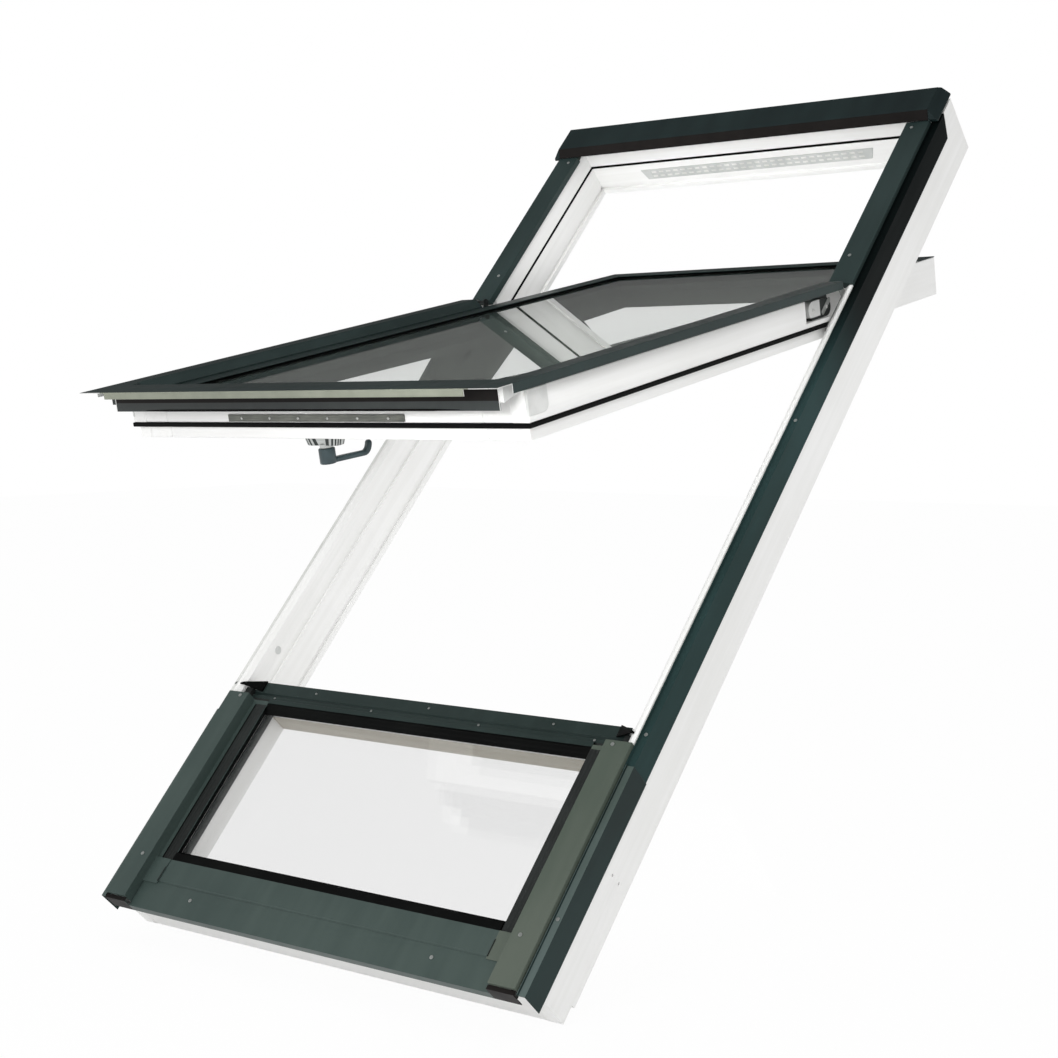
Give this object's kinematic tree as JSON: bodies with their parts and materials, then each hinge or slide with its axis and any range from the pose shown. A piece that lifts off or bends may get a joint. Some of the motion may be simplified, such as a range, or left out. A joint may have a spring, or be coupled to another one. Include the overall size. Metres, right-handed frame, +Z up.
{
  "type": "roof skylight",
  "caption": "Pitched roof window with a raised-axis pivot sash over a fixed lower light, timber frame, folded sheet covers and a hood; the sash swings open and flips for cleaning.",
  "frame": {"origin": "middle of the sill's room-side face", "axes": "+Z up, +X to the right seen from outside, the roof rises towards +Y and its outside faces -Y and up"},
  "size_m": [0.947, 1.5609, 1.5682],
  "materials": {
    "white_timber": "white paint, satin",
    "dark_sheet": "grey-green lacquer, satin",
    "olive_sheet": "olive-grey lacquer, satin",
    "hood_sheet": "dark grey-green lacquer, satin",
    "black_rubber": "matt",
    "clear_glass": "clear insulating glass",
    "spacer_bar": "mill finish",
    "plated_steel": "zinc plated",
    "dark_steel": "dark passivated",
    "grey_plastic": "fine grain",
    "dark_metal": "dark lacquer"
  },
  "bodies": {
    "frame": {"jamb_left": "white_timber", "jamb_right": "white_timber", "head_rail": "white_timber", "sill_rail": "white_timber", "transom_rail": "white_timber", "light_stile_left": "white_timber", "light_stile_right": "white_timber", "upper_stop_left": "white_timber", "upper_stop_right": "white_timber", "upper_seal": "black_rubber", "vent_grille": "grey_plastic", "edge_profile_lower_left": "dark_sheet", "edge_profile_lower_right": "dark_sheet", "edge_profile_upper_left": "dark_sheet", "edge_profile_upper_right": "dark_sheet", "upper_cover_left": "dark_sheet", "upper_cover_right": "dark_sheet", "hood": "hood_sheet", "hood_end_left": "hood_sheet", "hood_end_right": "hood_sheet", "lower_cover_left": "dark_sheet", "lower_cover_right": "olive_sheet", "bottom_cover": "dark_sheet", "transom_cover": "dark_sheet", "transom_plug_left": "black_rubber", "transom_plug_right": "black_rubber", "light_pane_outer": "clear_glass", "light_pane_inner": "clear_glass", "light_spacer": "spacer_bar", "light_gasket": "black_rubber", "glazing_clips": "plated_steel", "hinge_plate_left": "plated_steel", "hinge_plate_right": "plated_steel", "frame_screws": "plated_steel"},
    "sash": {"sash_stile_left": "white_timber", "sash_stile_right": "white_timber", "sash_top_rail": "white_timber", "sash_bottom_rail": "white_timber", "closing_strip_left": "white_timber", "closing_strip_right": "white_timber", "strip_cap_left": "grey_plastic", "strip_cap_right": "grey_plastic", "closing_seal": "black_rubber", "glazing_caps": "dark_sheet", "stile_cover_left": "dark_sheet", "stile_cover_right": "dark_sheet", "bottom_plate": "dark_sheet", "drip_web": "dark_sheet", "web_corner_left": "black_rubber", "web_corner_right": "black_rubber", "sash_pane_outer": "clear_glass", "sash_pane_inner": "clear_glass", "sash_spacer": "spacer_bar", "sash_gasket": "black_rubber", "hinge_arm_left": "dark_steel", "hinge_arm_right": "dark_steel", "lock_strip": "plated_steel", "handle_base": "grey_plastic", "sash_screws": "plated_steel"},
    "handle": {"handle_lever": "dark_metal"}
  },
  "joints": [
    {"name": "sash_pivot", "type": "hinge", "parent": "frame", "child": "sash", "pos_m": [0, 0.88134, 1.12571], "axis": [-1, 0, 0], "range_deg": [-35, 125]},
    {"name": "handle_turn", "type": "hinge", "parent": "sash", "child": "handle", "pos_m": [0, -0.05012, 0.85501], "axis": [0, 0.1908, -0.9816], "range_deg": [-20, 70]}
  ]
}
